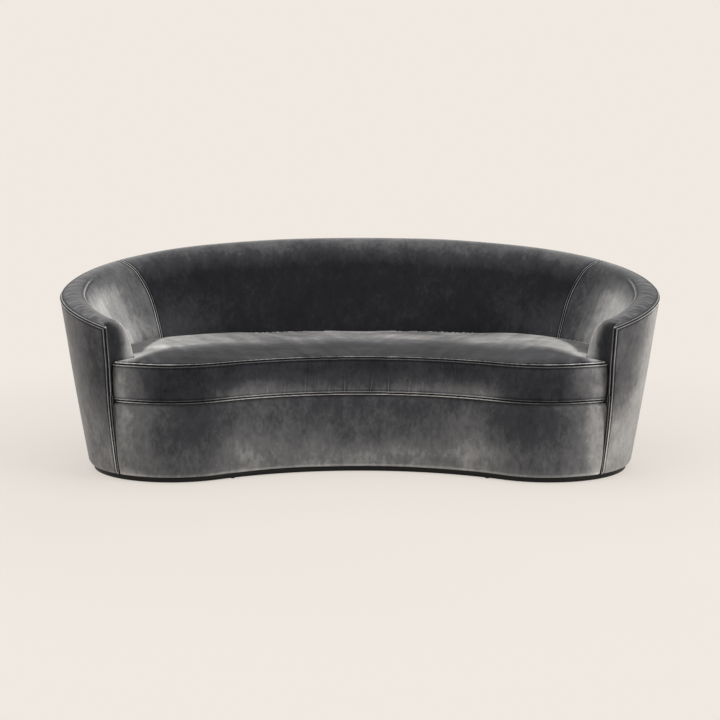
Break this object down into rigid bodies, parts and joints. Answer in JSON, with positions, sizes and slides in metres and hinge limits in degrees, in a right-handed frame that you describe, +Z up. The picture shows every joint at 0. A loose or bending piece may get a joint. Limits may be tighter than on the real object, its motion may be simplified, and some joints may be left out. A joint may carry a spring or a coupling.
{
  "type": "curved sofa",
  "caption": "Kidney-plan sofa with a raked wrap-round back and arms, one lift-out seat cushion, a sprung deck and a recessed dark plinth, upholstered in velvet.",
  "frame": {"origin": "on the floor, under the middle of the sofa's overall box", "axes": "+Z up, -Y towards the person who faces the sofa's front, +X along the sofa's length"},
  "size_m": [2.229, 1.1144, 0.792],
  "materials": {
    "velvet": "charcoal grey cotton velvet, short pile with a soft sheen",
    "foam": "cut polyurethane foam with wadding",
    "birch": "plain sawn birch plywood and hardwood",
    "plinth_black": "satin black lacquer on bent plywood",
    "spring_steel": "bright spring wire and pressed clips",
    "jute": "woven jute webbing and hessian",
    "lining": "black felted lining cloth",
    "glide_nylon": "moulded nylon, matt"
  },
  "bodies": {
    "sofa": {"plinth_back": "plinth_black", "plinth_end_right": "plinth_black", "plinth_end_left": "plinth_black", "plinth_front": "plinth_black", "glide_right_1": "glide_nylon", "glide_right_2": "glide_nylon", "glide_right_3": "glide_nylon", "glide_left_1": "glide_nylon", "glide_left_2": "glide_nylon", "glide_left_3": "glide_nylon", "base_rail_back": "birch", "base_rail_end_right": "birch", "base_rail_end_left": "birch", "base_rail_front": "birch", "base_cross_rail_right": "birch", "base_cross_rail_left": "birch", "seat_rail_back": "birch", "seat_rail_side_right": "birch", "seat_rail_side_left": "birch", "seat_rail_front": "birch", "top_rail_back": "birch", "top_rail_arm_right": "birch", "top_rail_arm_left": "birch", "seat_cross_rail_right": "birch", "seat_cross_rail_left": "birch", "back_post_1_right": "birch", "back_post_1_left": "birch", "back_post_2_right": "birch", "back_post_2_left": "birch", "arm_post_1_right": "birch", "arm_post_1_left": "birch", "arm_post_2_right": "birch", "arm_post_2_left": "birch", "front_post_right": "birch", "front_post_left": "birch", "seat_spring_1": "spring_steel", "seat_spring_2": "spring_steel", "seat_spring_3": "spring_steel", "seat_spring_4": "spring_steel", "seat_spring_5": "spring_steel", "seat_spring_6": "spring_steel", "seat_spring_7": "spring_steel", "deck_pad": "lining", "dust_cover": "lining", "back_foam": "foam", "arm_foam_right": "foam", "arm_foam_left": "foam", "inside_back": "velvet", "inside_arm_right": "velvet", "inside_arm_left": "velvet", "outside_back": "velvet", "outside_arm_right": "velvet", "outside_arm_left": "velvet", "back_webbing": "jute", "arm_liner_right": "jute", "arm_liner_left": "jute", "front_border": "velvet", "front_border_foam": "foam"},
    "cushion": {"cushion_cover": "velvet", "cushion_core": "foam"}
  },
  "joints": [
    {"name": "cushion_lift", "type": "slide", "parent": "sofa", "child": "cushion", "axis": [0, 0, 1], "range_m": [0, 0.5]}
  ]
}
